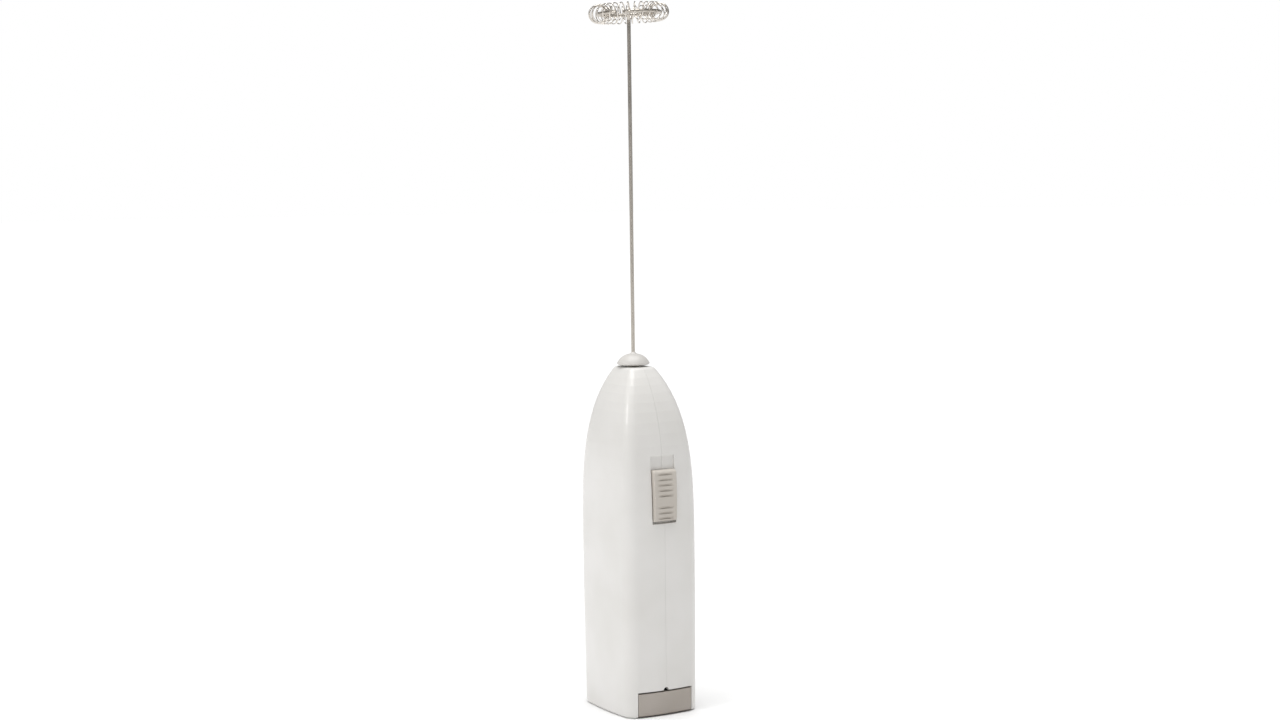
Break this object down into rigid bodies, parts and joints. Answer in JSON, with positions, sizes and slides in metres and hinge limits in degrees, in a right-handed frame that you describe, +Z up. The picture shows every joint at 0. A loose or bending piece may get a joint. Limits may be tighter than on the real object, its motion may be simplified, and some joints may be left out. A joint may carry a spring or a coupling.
{
  "type": "milk frother",
  "caption": "Hand-held battery milk frother: two-part moulded casing with thumb slide switch, hinged battery lid, motor, splash cap, and a wire rod carrying a coil-wound ring whisk.",
  "frame": {"origin": "middle of the bottom of the whole object's bounding box, on the plane of the casing's lower rim", "axes": "+Z up along the whisk, -Y towards the switch side, X across the thin side"},
  "size_m": [0.0274, 0.0366, 0.2206],
  "materials": {
    "casing_plastic": "smooth white moulded plastic, satin gloss",
    "cap_plastic": "pale grey moulded plastic, satin",
    "slider_plastic": "warm grey plastic, finely textured",
    "lid_plastic": "warm grey plastic, finely textured",
    "inner_plastic": "natural white plastic",
    "end_cap_plastic": "natural white plastic",
    "whisk_steel": "drawn stainless wire",
    "strip_metal": "nickel-plated strip",
    "motor_steel": "zinc-plated drawn can",
    "shaft_steel": "ground steel",
    "bush_bronze": "sintered bronze",
    "magnet_ferrite": "sintered ferrite",
    "core_steel": "stacked steel sheet",
    "winding_copper": "enamelled copper wire",
    "commutator_copper": "turned copper",
    "cell_jacket": "plain printed sleeve with bright ends"
  },
  "bodies": {
    "casing": {"casing_left": "casing_plastic", "casing_right": "casing_plastic", "battery_cell_front": "cell_jacket", "battery_cell_rear": "cell_jacket", "contact_positive": "strip_metal", "contact_negative": "strip_metal", "contact_spring": "strip_metal", "contact_switched": "strip_metal", "motor_can": "motor_steel", "motor_end_cap": "end_cap_plastic", "motor_bush_lower": "bush_bronze", "motor_bush_upper": "bush_bronze", "motor_magnets": "magnet_ferrite", "motor_brushes": "commutator_copper", "motor_terminal_front": "strip_metal", "motor_terminal_rear": "strip_metal"},
    "whisk": {"motor_shaft": "shaft_steel", "armature_core": "core_steel", "armature_windings": "winding_copper", "commutator": "commutator_copper", "drive_coupling": "inner_plastic", "splash_cap": "cap_plastic", "whisk_rod": "whisk_steel", "whisk_coil": "whisk_steel"},
    "switch": {"switch_slider": "slider_plastic", "switch_bridge": "strip_metal"},
    "lid": {"battery_lid": "lid_plastic", "lid_contact_plate": "strip_metal", "lid_spring": "strip_metal"}
  },
  "joints": [
    {"name": "whisk_spin", "type": "hinge", "parent": "casing", "child": "whisk", "pos_m": [0, 0.00126, 0.1], "axis": [0, 0, 1], "continuous": true},
    {"name": "switch_slide", "type": "slide", "parent": "casing", "child": "switch", "axis": [0, 0, 1], "range_m": [0, 0.004]},
    {"name": "lid_hinge", "type": "hinge", "parent": "casing", "child": "lid", "pos_m": [0, 0.01403, 0.0019], "axis": [1, 0, 0], "range_deg": [0, 95]}
  ]
}
